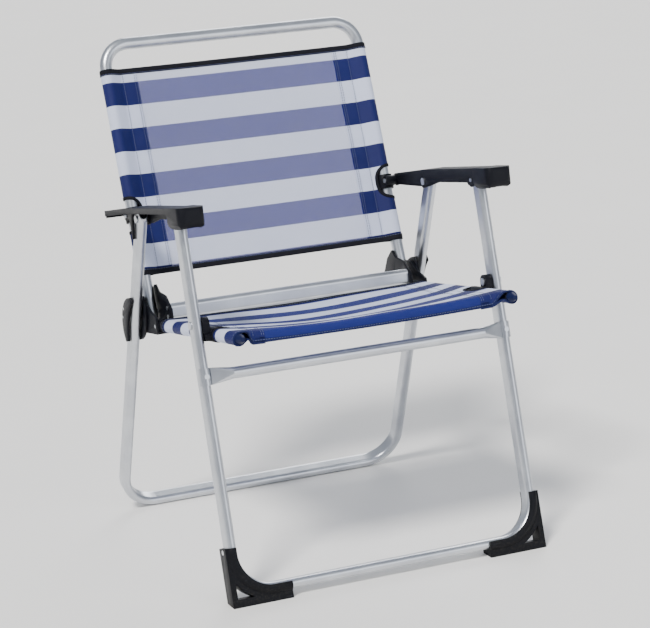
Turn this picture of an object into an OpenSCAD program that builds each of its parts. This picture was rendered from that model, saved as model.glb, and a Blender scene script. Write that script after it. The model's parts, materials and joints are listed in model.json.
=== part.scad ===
// Folding camp chair: three aluminium U-frames, plastic armrests, striped fabric seat and back.
// The sitter faces -Y, and left and right are as seen from the front: right is +X. +Z is up.

/* [Overall] */
// Distance between the centre lines of the legs
leg_span = 510; // [460:1:600]
// Distance between the centre lines of the two seat rails, and of the back tube's sides
rail_span = 454; // [410:1:540]
// Height of the pin between armrest and front leg
arm_pin_h = 570; // [540:1:620]
// Height of the pin between armrest and rear leg
rear_arm_pin_h = 540; // [525:1:555]
// Height of the pin between seat and front leg
seat_pin_h = 413; // [385:1:430]
// Height of the pin between seat, back and leg slider
hip_pin_h = 370; // [345:1:385]
// Distance from front to back between the seat's two pins
seat_base = 282; // [260:1:320]
// Height of the middle of the back's top bar
back_h = 788; // [700:1:900]
// Lean of the front legs from vertical, in degrees
front_lean = 15.6; // [13:0.1:18]
// Lean of the rear legs from vertical, in degrees
rear_lean = 20.2; // [18:0.1:23]
// Lean of the back from vertical, in degrees
back_lean = 21.2; // [20:0.1:26]

/* [Tubes] */
// Depth of the flat-oval leg tube
leg_depth = 28; // [24:0.5:30]
// Thickness of the flat-oval leg tube
leg_thick = 15; // [13:0.5:16]
// Wall of all tubes
tube_wall = 1.5; // [1:0.1:2]
// Bend radius of the front leg frame
front_bend = 60; // [50:1:90]
// Bend radius of the rear leg frame
rear_bend = 58; // [45:1:75]
// Diameter of the back tube
back_dia = 20; // [16:0.5:22]
// Bend radius of the back tube
back_bend = 42; // [34:1:60]
// Diameter of the seat rails
rail_dia = 18; // [14:0.5:19]
// Diameter of the front brace
brace_dia = 18; // [14:0.5:20]
// Height of the front brace
brace_h = 336; // [280:1:350]
// Height of the seat's rear crossbar
crossbar_tall = 28; // [22:1:32]
// Thickness of the seat's rear crossbar
crossbar_thick = 14; // [10:1:16]

/* [Seat and back] */
// Distance from the seat pin forward to the end of the rail tube
rail_front = 110; // [90:1:130]
// Drop of the rail axis below the line through the seat's pins
rail_drop = 18; // [17:0.5:22]
// Sag of the seat fabric at mid width
seat_sag = 17; // [8:1:17]
// Thickness of the fabric
cloth_t = 1.2; // [0.8:0.1:2]
// Distance up the back tube from its pin to the lower edge of the back fabric
back_cloth_low = 62; // [58:1:70]
// Gap between the top of the back fabric and the start of the back tube's bends
back_cloth_gap = 1; // [0:1:40]

/* [Armrests] */
// Height of the armrest's top above its front pin
arm_rise = 18.5; // [17.5:0.5:24]
// Thickness of the armrest's top plate
arm_plate = 3.5; // [3:0.1:4]
// Thickness of the armrest's side walls
arm_wall = 3.5; // [3:0.1:5]
// Distance the armrest reaches ahead of the front leg's pin
arm_nose = 72; // [55:1:85]
// Depth of the armrest's closed nose
nose_depth = 34; // [32:1:44]
// Width of the armrest
arm_w = 39; // [36:1:60]

/* [Feet, pins and clearances] */
// Gap between the ground and the front bar
front_lift = 8; // [5:1:14]
// Width of a front foot's struts
foot_w = 26; // [20:1:28]
// Wall of a front foot around the tube
foot_wall = 4; // [3:0.5:6]
// Length of a leg slider
slider_len = 84; // [70:1:96]
// Width of a leg slider
slider_w = 52; // [48:1:60]
// Thickness of the plastic plates of sliders and brackets
plate_t = 3.8; // [3:0.1:4.2]
// Radius of the pins
pin_r = 3; // [2.5:0.1:3.5]
// Radial clearance of a pin that turns in its hole
pin_play = 0.05; // [0.02:0.01:0.1]
// Side gap between two pieces that turn against each other
side_gap = 0.5; // [0.4:0.1:0.8]

/* [Hidden] */
$fn = 64;

// Half span of the rails, and the stack of hip bracket and slider outside it
rail_x = rail_span / 2;
cheek_gap = 1;
cheek_in = rail_x - back_dia / 2 - cheek_gap;
cheek_out = rail_x + back_dia / 2 + cheek_gap;
cheek_t = plate_t + 1;
bracket_end = cheek_out + plate_t;
slide_in0 = bracket_end + side_gap;
slide_in1 = slide_in0 + plate_t;

// Half span of the legs, which stand outside that stack
slide_clear = 1.4;
leg_x = max(leg_span / 2, slide_in1 + slide_clear + leg_thick / 2);
leg_in = leg_x - leg_thick / 2;
leg_out = leg_x + leg_thick / 2;

// Side view, each point as [y, z]
seat_pin_y = -166;
seat_pin = [seat_pin_y, seat_pin_h];
arm_pin = seat_pin + (arm_pin_h - seat_pin_h) * [tan(front_lean), 1];
hip_pin = [seat_pin_y + seat_base, hip_pin_h];
back_arm_pin = hip_pin + arm_pin - seat_pin;
rear_arm_pin = hip_pin + (rear_arm_pin_h - hip_pin_h) * [-tan(rear_lean), 1];
seat_len = norm(hip_pin - seat_pin);
seat_tilt = atan2(hip_pin[1] - seat_pin[1], hip_pin[0] - seat_pin[0]);

// Bars at the bottom of the leg frames
leg_flat = (leg_depth - leg_thick) / 2;
front_bar_z = front_lift + leg_thick / 2 + leg_flat * sin(front_lean);
rear_bar_z = leg_thick / 2 + leg_flat * sin(rear_lean);
front_bar_y = seat_pin_y - (seat_pin_h - front_bar_z) * tan(front_lean);
rear_bar_y = hip_pin[0] + (hip_pin_h - rear_bar_z) * tan(rear_lean);

// Distances along the leaning members
front_up = function(z) (z - front_bar_z) / cos(front_lean);
rear_up = function(z) (z - rear_bar_z) / cos(rear_lean);
back_up = (back_h - hip_pin_h) / cos(back_lean);
arm_link = norm(arm_pin - seat_pin);
clamp_up = arm_link * cos(back_lean - front_lean);
clamp_off = arm_link * sin(back_lean - front_lean);
back_cloth_len = back_up - back_bend - back_cloth_gap - back_cloth_low;

// Positions across the chair, from the middle outwards
slide_out0 = leg_out + 1.5;
slide_out1 = slide_out0 + plate_t;
flange_x0 = bracket_end - side_gap;
flange_x1 = flange_x0 + arm_wall;
lug_x0 = leg_out + side_gap;
lug_x1 = lug_x0 + arm_wall;
arm_x1 = max(flange_x0 + arm_w, lug_x1 + arm_wall);
arm_up = max(arm_rise, leg_depth / 2 + arm_plate + 1);
nose_end = leg_depth / 2 + 4;
nose_x0 = flange_x0 - 5;
nose_low = arm_up + 1 - nose_depth;

// Frames of the leaning members: local Z runs along the member, or local Y along the seat
module on_front() {
    translate([0, front_bar_y, front_bar_z]) rotate([-front_lean, 0, 0]) children();
}
module on_rear() {
    translate([0, rear_bar_y, rear_bar_z]) rotate([rear_lean, 0, 0]) children();
}
module on_back() {
    translate([0, hip_pin[0], hip_pin[1]]) rotate([-back_lean, 0, 0]) children();
}
module on_seat() {
    translate([0, seat_pin[0], seat_pin[1]]) rotate([seat_tilt, 0, 0]) children();
}
module on_arm() {
    translate([0, arm_pin[0], arm_pin[1]]) rotate([seat_tilt, 0, 0]) children();
}
module at_pin(p) {
    translate([0, p[0], p[1]]) children();
}
module both() {
    children();
    mirror([1, 0, 0]) children();
}
module left() {
    mirror([1, 0, 0]) children();
}

// A cylinder along X from x0 to x1
module rod(x0, x1, r) {
    translate([x0, 0, 0]) rotate([0, 90, 0]) cylinder(r = r, h = x1 - x0);
}
// A side view drawn in [y, z], given a width from x0 to x1
module side(x0, x1) {
    translate([x0, 0, 0]) rotate([90, 0, 90]) linear_extrude(x1 - x0) children();
}
// Flat-oval section: thickness along X, depth along Y
module flat_oval(depth, thick) {
    square([thick, depth - thick], center = true);
    for (s = [-1, 1]) translate([0, s * (depth - thick) / 2]) circle(d = thick);
}
// Solid U: bar at local z = 0, sides up to height top
module u_solid(half, top, bend) {
    rotate([0, 90, 0]) linear_extrude(2 * (half - bend), center = true) children();
    both() {
        translate([half, 0, bend]) linear_extrude(top - bend) children();
        translate([half - bend, 0, bend]) rotate([90, 0, 0]) rotate([0, 0, -90])
            rotate_extrude(angle = 90) translate([bend, 0]) children();
    }
}
// Everything above a pin that lies outside a round end of radius r
module round_end(z, r) {
    difference() {
        translate([-leg_span, -r - 5, z]) cube([2 * leg_span, 2 * r + 10, 3 * r]);
        translate([0, 0, z]) rod(-leg_span - 1, leg_span + 1, r);
    }
}
module leg_frame(top, bend) {
    difference() {
        u_solid(leg_x, top + leg_depth / 2, bend) flat_oval(leg_depth, leg_thick);
        u_solid(leg_x, top + leg_depth, bend)
            flat_oval(leg_depth - 2 * tube_wall, leg_thick - 2 * tube_wall);
        round_end(top, leg_depth / 2);
    }
}
// Plug that fills the top of a leg tube around its pin
module leg_plug(top) {
    both() difference() {
        translate([leg_x, 0, top - leg_depth])
            linear_extrude(leg_depth + leg_depth / 2)
            flat_oval(leg_depth - 2 * tube_wall, leg_thick - 2 * tube_wall);
        round_end(top, leg_depth / 2);
        translate([0, 0, top]) rod(leg_in - 1, leg_out + 1, pin_r + pin_play);
    }
}
module leg_pin_bore(z, r) {
    translate([0, 0, z]) both() rod(leg_in - 1, leg_out + 1, r);
}

// ---- Rear legs ----
module rear_leg_tube() {
    color("silver") on_rear() difference() {
        leg_frame(rear_up(rear_arm_pin_h), rear_bend);
        leg_pin_bore(rear_up(rear_arm_pin_h), pin_r + pin_play);
    }
}
module rear_leg_plugs() {
    color("dimgray") on_rear() leg_plug(rear_up(rear_arm_pin_h));
}

// ---- Front legs ----
foot_rivet_up = front_bend + 4;
module front_leg_tube() {
    color("silver") on_front() difference() {
        leg_frame(front_up(arm_pin_h), front_bend);
        leg_pin_bore(front_up(arm_pin_h), pin_r + pin_play);
        leg_pin_bore(front_up(seat_pin_h), pin_r + pin_play);
        for (s = [-1, 1]) translate([s * leg_x, -leg_depth, front_up(brace_h)])
            rotate([-90, 0, 0]) cylinder(r = 2, h = leg_depth);
        both() translate([0, 0, foot_rivet_up]) rod(leg_x, leg_out + 1, 2);
    }
}
module front_leg_plugs() {
    color("dimgray") on_front() leg_plug(front_up(arm_pin_h));
}
saddle_wall = 2.5;
saddle_tall = 26;
brace_y = -leg_depth / 2 - saddle_wall;
module brace_saddle() {
    translate([leg_x, 0, -saddle_tall / 2]) difference() {
        linear_extrude(saddle_tall) flat_oval(leg_depth + 2 * saddle_wall, leg_thick + 2 * saddle_wall);
        translate([0, 0, -1]) linear_extrude(saddle_tall + 2) flat_oval(leg_depth, leg_thick);
        translate([-leg_thick, leg_thick / 2 - leg_depth / 2, -1])
            cube([2 * leg_thick, 2 * leg_depth, saddle_tall + 2]);
    }
}
module front_brace() {
    tube_end = leg_in - 34;
    color("silver") on_front() translate([0, 0, front_up(brace_h)]) difference() {
        union() {
            translate([0, brace_y, 0]) rod(-tube_end, tube_end, brace_dia / 2);
            both() {
                brace_saddle();
                hull() {
                    translate([0, brace_y, 0]) rod(tube_end - 0.5, tube_end, brace_dia / 2, $fn = 32);
                    translate([leg_in - saddle_wall, brace_y + 2, -saddle_tall / 2])
                        cube([2, saddle_wall + 3, saddle_tall]);
                }
            }
        }
        translate([0, brace_y, 0]) rod(-tube_end + 1, tube_end - 1, brace_dia / 2 - tube_wall);
        for (s = [-1, 1]) translate([s * leg_x, -leg_depth, 0])
            rotate([-90, 0, 0]) cylinder(r = 2, h = leg_depth);
    }
}
module brace_rivets() {
    color("gainsboro") on_front() for (s = [-1, 1])
        translate([s * leg_x, brace_y, front_up(brace_h)]) rotate([-90, 0, 0]) {
            cylinder(r = 2, h = saddle_wall + 4);
            translate([0, 0, -1.6]) cylinder(r = 4, h = 1.6);
        }
}
// Front foot: a channel around the bend, held off the ground by two struts
foot_top = 10;
bar_cover = 26;
module foot_corner() {
    top = front_bend + foot_top;
    inner = leg_x - front_bend;
    outer_x = leg_out + foot_wall + 1;
    low = -front_bar_z / cos(front_lean);
    strut = 9;
    rib = 6;
    reach = inner - bar_cover;
    r0 = front_bend + leg_thick / 2;
    module beyond(r) {
        difference() {
            translate([reach, low - 12]) square([outer_x - reach, top - low + 12]);
            translate([inner, front_bend]) circle(r = r);
            translate([reach - 1, front_bend - r]) square([inner - reach + 1, r]);
            translate([inner, front_bend]) square([r, top]);
        }
    }
    difference() {
        union() {
            rotate([90, 0, 0]) linear_extrude(foot_w, center = true) difference() {
                beyond(r0 - 1);
                intersection() {
                    beyond(r0 + foot_wall + rib);
                    translate([inner, low + strut])
                        square([outer_x - strut - inner, top - low - 12]);
                }
            }
            translate([inner, 0, front_bend]) rotate([90, 0, 0]) rotate([0, 0, -90])
                rotate_extrude(angle = 90) translate([front_bend, 0]) foot_channel();
            translate([leg_x, 0, front_bend]) linear_extrude(foot_top) foot_channel();
            translate([inner, 0, 0]) rotate([0, -90, 0]) mirror([1, 0, 0])
                linear_extrude(bar_cover) foot_channel();
        }
        u_solid(leg_x, front_bend + 40, front_bend) flat_oval(leg_depth, leg_thick);
        translate([0, 0, foot_rivet_up]) rod(leg_x, outer_x + 1, 2);
        translate([0, 0, foot_rivet_up]) rod(leg_out + foot_wall, outer_x + 1, 4.2);
    }
}
// Section of the channel: it leaves only the inner side of the tube bare
module foot_channel() {
    intersection() {
        flat_oval(leg_depth + 2 * foot_wall, leg_thick + 2 * foot_wall);
        translate([-leg_thick / 2 + 3, -leg_depth]) square([2 * leg_thick, 2 * leg_depth]);
    }
}
module front_foot() {
    color([0.16, 0.16, 0.18]) difference() {
        on_front() foot_corner();
        translate([0, front_bar_y - 200, -50]) cube([leg_span, 400, 50]);
    }
}
module foot_rivets() {
    color("gainsboro") on_front() both() translate([0, 0, foot_rivet_up]) {
        rod(leg_x + 2, leg_out + foot_wall + 1, 2);
        rod(leg_out + foot_wall, leg_out + foot_wall + 1, 4);
    }
}

// ---- Armrests ----
arm_bear = atan2(rear_arm_pin[1] - arm_pin[1], rear_arm_pin[0] - arm_pin[0]) - seat_tilt;
rear_s = norm(rear_arm_pin - arm_pin) * cos(arm_bear);
rear_t = norm(rear_arm_pin - arm_pin) * sin(arm_bear);
hook_r = 10.5;
boss_r = leg_depth / 2 - 3;
arm_top_rear = max(arm_up - 2, rear_t + leg_depth / 2 + arm_plate + 2);
// Side outline of the top: flat along the leg pins, falling to the rear hook
module arm_top_line(extra) {
    polygon([
        [-arm_nose + 8, arm_up + 1], [0, arm_up], [rear_s, arm_top_rear],
        [seat_len, hook_r], [seat_len, hook_r - extra], [rear_s, arm_top_rear - extra],
        [0, arm_up - extra], [-arm_nose + 8, arm_up + 1 - extra]
    ]);
}
module arm_flange() {
    polygon([
        [-24, arm_up], [0, arm_up], [rear_s, arm_top_rear], [seat_len, hook_r],
        [seat_len, -hook_r + 2], [rear_s + 20, rear_t - boss_r + 3],
        [rear_s - 20, rear_t - boss_r + 3], [rear_s - 60, -4], [14, -4], [10, -8], [-24, -8]
    ]);
    circle(r = boss_r);
    translate([rear_s, rear_t]) circle(r = boss_r);
    translate([seat_len, 0]) circle(r = hook_r);
}
// Pointed guard that hangs outside the rear leg, behind its pin
module arm_prong() {
    polygon([
        [rear_s + 6, arm_top_rear - arm_plate], [rear_s + 38, arm_top_rear - arm_plate - 4],
        [rear_s + 24, rear_t - 6], [rear_s + 21, rear_t - 32], [rear_s + 18, rear_t - 32],
        [rear_s + 12, rear_t - 4]
    ]);
}
// The sliver between a square corner at p and its round, where way points into the body
module corner_sliver(p, way, r) {
    translate(p) difference() {
        translate([way[0] > 0 ? -1 : -r, way[1] > 0 ? -1 : -r]) square(r + 1);
        translate(r * way) circle(r = r);
    }
}
// Side outline of the nose, inset all round: a small round above, a large one below
module nose_shape(inset) {
    front = inset - arm_nose;
    low = nose_low + inset;
    high = nose_low + nose_depth - inset;
    difference() {
        translate([front, low]) square([-nose_end - inset - front, high - low]);
        corner_sliver([front, low], [1, 1], 16 - inset);
        corner_sliver([front, high], [1, -1], 6 - inset);
    }
}
// The nose as a block, inset on every side: round at the front, along its lower edges and in plan
module nose_block(inset) {
    r = 13 - inset;
    x0 = nose_x0 + inset;
    x1 = arm_x1 - inset;
    low = nose_low + inset;
    difference() {
        side(x0, x1) nose_shape(inset);
        translate([0, 0, -60]) linear_extrude(120) {
            corner_sliver([x1, inset - arm_nose], [-1, 1], r);
            corner_sliver([x0, inset - arm_nose], [1, 1], r);
        }
        rotate([90, 0, 0]) linear_extrude(arm_nose + 1) {
            corner_sliver([x1, low], [-1, 1], r);
            corner_sliver([x0, low], [1, 1], r);
        }
    }
}
module armrest() {
    color([0.16, 0.17, 0.2]) on_arm() difference() {
        union() {
            side(flange_x0, arm_x1) arm_top_line(arm_plate);
            side(flange_x0, flange_x1) arm_flange();
            side(flange_x0, leg_in - side_gap) {
                circle(r = 2.4 * pin_r);
                translate([rear_s, rear_t]) circle(r = 2.4 * pin_r);
            }
            side(arm_x1 - 2.5, arm_x1) arm_top_line(9);
            side(flange_x0, arm_x1) translate([seat_len, 0]) difference() {
                circle(r = hook_r);
                circle(r = hook_r - arm_plate);
                translate([-2 * hook_r, -hook_r]) square([2 * hook_r, 2 * hook_r]);
                translate([-1, -hook_r]) square([2 * hook_r, hook_r - 2]);
            }
            difference() {
                nose_block(0);
                nose_block(arm_wall);
                translate([nose_x0 + 2 * arm_wall, -arm_nose + 2 * arm_wall, -nose_depth])
                    cube([arm_x1 - nose_x0 - 4 * arm_wall, arm_nose - 30 - 2 * arm_wall, nose_depth]);
            }
            side(lug_x0, lug_x1) {
                circle(r = boss_r);
                translate([-boss_r, 0]) square([2 * boss_r, arm_up - 1]);
                arm_prong();
            }
        }
        rod(nose_x0 - 1, arm_x1 + 1, pin_r);
        translate([0, rear_s, rear_t]) rod(flange_x0 - 1, leg_in, pin_r);
        translate([0, seat_len, 0]) rod(flange_x0 - 1, flange_x1 + 1, pin_r);
        arm_plan_cut();
    }
}
// Rounds the armrest's corners as seen from above
module arm_plan_cut() {
    translate([0, 0, -60]) linear_extrude(120) {
        corner_sliver([arm_x1, -arm_nose], [-1, 1], 13);
        corner_sliver([nose_x0, -arm_nose], [1, 1], 13);
        corner_sliver([arm_x1, seat_len + hook_r], [-1, -1], 13);
    }
}
module front_arm_pins() {
    color("gainsboro") at_pin(arm_pin) both() {
        rod(flange_x0 - 1, lug_x1, pin_r);
        rod(lug_x1, lug_x1 + 2, 2 * pin_r);
    }
}
module rear_arm_pins() {
    color("gainsboro") at_pin(rear_arm_pin) both() {
        rod(flange_x0, leg_out + 0.4, pin_r);
        rod(flange_x0 - 1.6, flange_x0, 2 * pin_r);
        rod(leg_out + 0.4, leg_out + 2.4, 2 * pin_r);
    }
}
module back_arm_pins() {
    color("gainsboro") at_pin(back_arm_pin) both() {
        rod(clamp_x0 - 0.4, flange_x1, pin_r);
        rod(clamp_x0 - 2, clamp_x0 - 0.4, pin_head_r);
        rod(flange_x1, flange_x1 + 2, 2 * pin_r);
    }
}

// ---- Seat ----
rail_rear = seat_len - 46;
socket_len = 16;
crossbar_at = [seat_len - 49, 1];
module seat_rail() {
    color("silver") on_seat() translate([rail_x, -rail_front, -rail_drop]) rotate([-90, 0, 0])
        difference() {
            cylinder(d = rail_dia, h = rail_front + rail_rear);
            translate([0, 0, -1]) cylinder(d = rail_dia - 2 * tube_wall, h = rail_front + rail_rear + 2);
            translate([0, 0, rail_front + rail_rear - socket_len / 2]) rotate([0, 90, 0])
                cylinder(r = 1.5, h = rail_dia);
        }
}
cap_len = 14;
module rail_caps() {
    color([0.13, 0.13, 0.16]) on_seat() both()
        translate([rail_x, -rail_front, -rail_drop]) rotate([90, 0, 0]) {
            cylinder(d1 = rail_dia, d2 = rail_dia - 11, h = cap_len);
            translate([0, 0, -14]) cylinder(d = rail_dia - 2 * tube_wall, h = 14);
        }
}
module seat_crossbar() {
    color("silver") on_seat() translate([0, crossbar_at[0], crossbar_at[1]]) difference() {
        rotate([0, 90, 0]) linear_extrude(2 * (cheek_in - cheek_t), center = true)
            rotate([0, 0, 90]) flat_oval(crossbar_tall, crossbar_thick);
        rotate([0, 90, 0]) linear_extrude(2 * cheek_in, center = true)
            rotate([0, 0, 90])
            flat_oval(crossbar_tall - 2 * tube_wall, crossbar_thick - 2 * tube_wall);
    }
}
module crossbar_plug() {
    rotate([0, 90, 0]) rotate([0, 0, 90]) linear_extrude(14)
        flat_oval(crossbar_tall - 2 * tube_wall, crossbar_thick - 2 * tube_wall);
}
module crossbar_rivets() {
    color("gainsboro") on_seat() both()
        translate([0, crossbar_at[0], crossbar_at[1]]) for (z = [-7, 7]) translate([0, 0, z])
            rod(cheek_in, cheek_in + 0.8, 3.5);
}
// Hip bracket: two cheeks around the back tube, a socket for the rail and a floor
module cheek_shape() {
    p = seat_len;
    polygon([
        [p - 62, -rail_drop - 13], [p + 4, -rail_drop - 13], [p + 26, -16], [p + 42, 4],
        [p + 24, 30], [p + 4, 44], [p - 10, 32], [p - 40, 27], [p - 62, 6]
    ]);
}
module outer_cheek_shape() {
    p = seat_len;
    polygon([
        [p - 62, -rail_drop - 13], [p + 4, -rail_drop - 13], [p + 22, -14], [p + 22, 8],
        [p + 8, 24], [p - 12, 22], [p - 40, 4], [p - 62, -4]
    ]);
}
module hip_bracket() {
    rail_z = -rail_drop;
    color([0.16, 0.17, 0.2]) on_seat() difference() {
        union() {
            side(cheek_in - cheek_t, cheek_in) cheek_shape();
            side(cheek_out, bracket_end) outer_cheek_shape();
            translate([cheek_in - 1, seat_len - 62, rail_z - 13])
                cube([cheek_out - cheek_in + 2, 66, 3.5]);
            translate([rail_x, rail_rear - socket_len, rail_z]) rotate([-90, 0, 0])
                cylinder(d = rail_dia + 5, h = socket_len + 3);
            translate([cheek_in - cheek_t, crossbar_at[0], crossbar_at[1]])
                mirror([1, 0, 0]) crossbar_plug();
        }
        translate([rail_x, rail_rear - socket_len - 1, rail_z]) rotate([-90, 0, 0])
            cylinder(d = rail_dia, h = socket_len + 1);
        translate([0, seat_len, 0]) rod(cheek_in - cheek_t - 1, bracket_end + 1, pin_r);
        translate([0, rail_rear - socket_len / 2, rail_z])
            rod(rail_x, bracket_end + 1, 1.5);
        translate([0, rail_rear - socket_len / 2, rail_z])
            rod(bracket_end - 1, bracket_end + 1, 3.1);
        translate([0, crossbar_at[0], crossbar_at[1]]) for (z = [-7, 7]) translate([0, 0, z])
            rod(cheek_in - 0.8, cheek_in + 1, 3.5);
    }
}
module hip_pins() {
    color("gainsboro") at_pin(hip_pin) both() {
        rod(cheek_in - cheek_t, slide_in1 - 1.5, pin_r);
        rod(cheek_in - cheek_t - 1.6, cheek_in - cheek_t, 2 * pin_r);
        rod(slide_in1 - 1.5, slide_in1 - 0.3, 2 * pin_r);
    }
}
module bracket_rivets() {
    color("gainsboro") on_seat() both()
        translate([0, rail_rear - socket_len / 2, -rail_drop]) {
            rod(rail_x + rail_dia / 2 - tube_wall - 1, bracket_end - 1, 1.5);
            rod(bracket_end - 1, bracket_end, 3);
        }
}
// Knee bracket: a sleeve round the rail with a plate that rises to the front leg's pin
knee_w = 34;
knee_r = 11;
sleeve_wall = 2.5;
knee_end = leg_in - side_gap;
knee_x0 = rail_x + rail_dia / 2 + sleeve_wall;
module knee_bracket() {
    color([0.16, 0.17, 0.2]) on_seat() difference() {
        union() {
            translate([rail_x, -knee_w / 2, -rail_drop]) rotate([-90, 0, 0])
                cylinder(d = rail_dia + 2 * sleeve_wall, h = knee_w);
            side(knee_x0 - 3, knee_end) {
                circle(r = knee_r);
                translate([-knee_r, -rail_drop]) square([2 * knee_r, rail_drop]);
                translate([-knee_w / 2, -rail_drop - 7]) square([knee_w, 10]);
            }
        }
        translate([rail_x, -knee_w, -rail_drop]) rotate([-90, 0, 0])
            cylinder(d = rail_dia, h = 2 * knee_w);
        rod(rail_x, knee_end + 1, pin_r);
    }
}
module knee_pins() {
    color("gainsboro") at_pin(seat_pin) both() {
        rod(knee_x0 - 3, leg_out + 0.4, pin_r);
        rod(knee_x0 - 5, knee_x0 - 3, 2 * pin_r);
        rod(leg_out + 0.4, leg_out + 2.4, 2 * pin_r);
    }
}
// Seat fabric: a sleeve on each rail and a sagging sheet between them
seat_cloth_rear = crossbar_at[0] - crossbar_thick / 2 - 14;
seat_cloth_front = -rail_front;
module seat_fabric() {
    len = seat_cloth_rear - seat_cloth_front;
    arc_r = (rail_x * rail_x + seat_sag * seat_sag) / (2 * seat_sag);
    arc_z = (rail_dia + cloth_t) / 2;
    sleeve_d = rail_dia + 2 * cloth_t;
    color("midnightblue") on_seat() difference() {
        translate([0, seat_cloth_rear, -rail_drop]) rotate([90, 0, 0]) linear_extrude(len)
            difference() {
                union() {
                    intersection() {
                        translate([0, arc_z + arc_r - seat_sag]) difference() {
                            circle(r = arc_r + cloth_t / 2, $fn = 256);
                            circle(r = arc_r - cloth_t / 2, $fn = 256);
                        }
                        translate([-rail_x, -2 * seat_sag]) square([2 * rail_x, 4 * seat_sag]);
                    }
                    for (s = [-1, 1]) translate([s * rail_x, 0]) circle(d = sleeve_d);
                }
                for (s = [-1, 1]) translate([s * rail_x, 0]) circle(d = rail_dia);
            }
        both() translate([rail_x - rail_dia / 2 - sleeve_wall - 3, -knee_w / 2 - 1, -2 * rail_drop])
            cube([rail_dia + 2 * sleeve_wall + 4, knee_w + 2, 2 * rail_drop]);
    }
}

// ---- Back ----
clamp_wall = 3.5;
clamp_tall = 24;
clamp_r = back_dia / 2 + clamp_wall;
pin_head_r = 4;
clamp_half = sqrt(max(0, pow(clamp_r, 2) - pow(clamp_off - pin_head_r, 2)));
clamp_x0 = rail_x - max(6, clamp_half - 0.2);
clamp_x1 = rail_x + back_dia / 2 + clamp_wall;
module back_tube() {
    low = -11;
    color("silver") on_back() difference() {
        translate([0, 0, back_up]) mirror([0, 0, 1])
            u_solid(rail_x, back_up - low, back_bend) circle(d = back_dia);
        translate([0, 0, back_up]) mirror([0, 0, 1])
            u_solid(rail_x, back_up - low + 1, back_bend) circle(d = back_dia - 2 * tube_wall);
        both() rod(rail_x - back_dia, rail_x + back_dia, pin_r + pin_play);
    }
}
module back_clamp() {
    color([0.16, 0.17, 0.2]) on_back() translate([0, 0, clamp_up]) difference() {
        union() {
            translate([rail_x, 0, -clamp_tall / 2])
                cylinder(d = back_dia + 2 * clamp_wall, h = clamp_tall);
            translate([clamp_x0, -clamp_off, 0]) rod(0, clamp_x1 - clamp_x0, 8);
            translate([clamp_x0, -clamp_off, -8]) cube([clamp_x1 - clamp_x0, clamp_off, 16]);
        }
        translate([rail_x, 0, -clamp_tall]) cylinder(d = back_dia, h = 2 * clamp_tall);
        translate([0, -clamp_off, 0]) rod(clamp_x0 - 1, clamp_x1 + 1, pin_r + pin_play);
    }
}
module back_fabric() {
    sleeve_d = back_dia + 2 * cloth_t;
    color("midnightblue") on_back() difference() {
        translate([0, 0, back_cloth_low]) linear_extrude(back_cloth_len) {
            square([2 * rail_x, cloth_t], center = true);
            for (s = [-1, 1]) translate([s * rail_x, 0]) circle(d = sleeve_d);
        }
        both() translate([rail_x, 0, back_cloth_low - 1])
            cylinder(d = back_dia, h = back_cloth_len + 2);
        both() translate([rail_x - back_dia / 2 - clamp_wall - 4, -40, clamp_up - clamp_tall / 2 - 18])
            cube([40, 80, clamp_tall + 36]);
    }
}

// ---- Sliders on the rear legs ----
hip_up = rear_up(hip_pin_h);
slider_drop = 8;
web_t = 4.7;
web_y = slider_w / 2 - 1.8 - web_t / 2;
web_tall = 26;
screw_at = [-8, 8];
module leaf() {
    h = slider_len / 2;
    w = slider_w / 2;
    r = (h * h + w * w) / (2 * w);
    intersection() {
        translate([r - w, 0]) circle(r = r, $fn = 128);
        translate([w - r, 0]) circle(r = r, $fn = 128);
    }
}
module at_slider() {
    on_rear() translate([0, 0, hip_up - slider_drop]) children();
}
module web_bores(x0, r) {
    for (z = screw_at) translate([0, web_y, z]) rod(x0, slide_out1 + 1, r);
}
// Outer cheek: the rear part of the leaf, hollowed where the leg stands in front of it
module outer_leaf() {
    difference() {
        leaf();
        translate([-slider_len, 0]) circle(r = slider_len, $fn = 128);
    }
}
module slider_inner() {
    color([0.13, 0.13, 0.16]) at_slider() difference() {
        union() {
            side(slide_in0, slide_in1) leaf();
            translate([slide_in0, web_y - web_t / 2, -web_tall / 2])
                cube([slide_out0 - slide_in0, web_t, web_tall]);
        }
        translate([0, 0, slider_drop]) rod(slide_in0 - 1, slide_in1 + 1, pin_r + pin_play);
        translate([0, 0, slider_drop]) rod(slide_in1 - 1.8, slide_in1 + 1, 2 * pin_r + 0.5);
        web_bores(slide_in1, 1.5);
    }
}
module slider_outer() {
    color([0.13, 0.13, 0.16]) at_slider() difference() {
        side(slide_out0, slide_out1) outer_leaf();
        web_bores(slide_in1, 1.5);
        web_bores(slide_out1 - 1.2, 2.4);
    }
}
module slider_screws() {
    color("gainsboro") at_slider() both() for (z = screw_at) translate([0, web_y, z]) {
        rod(slide_in1, slide_out1 - 1.2, 1.5);
        rod(slide_out1 - 1.2, slide_out1, 2.4);
    }
}

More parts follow.
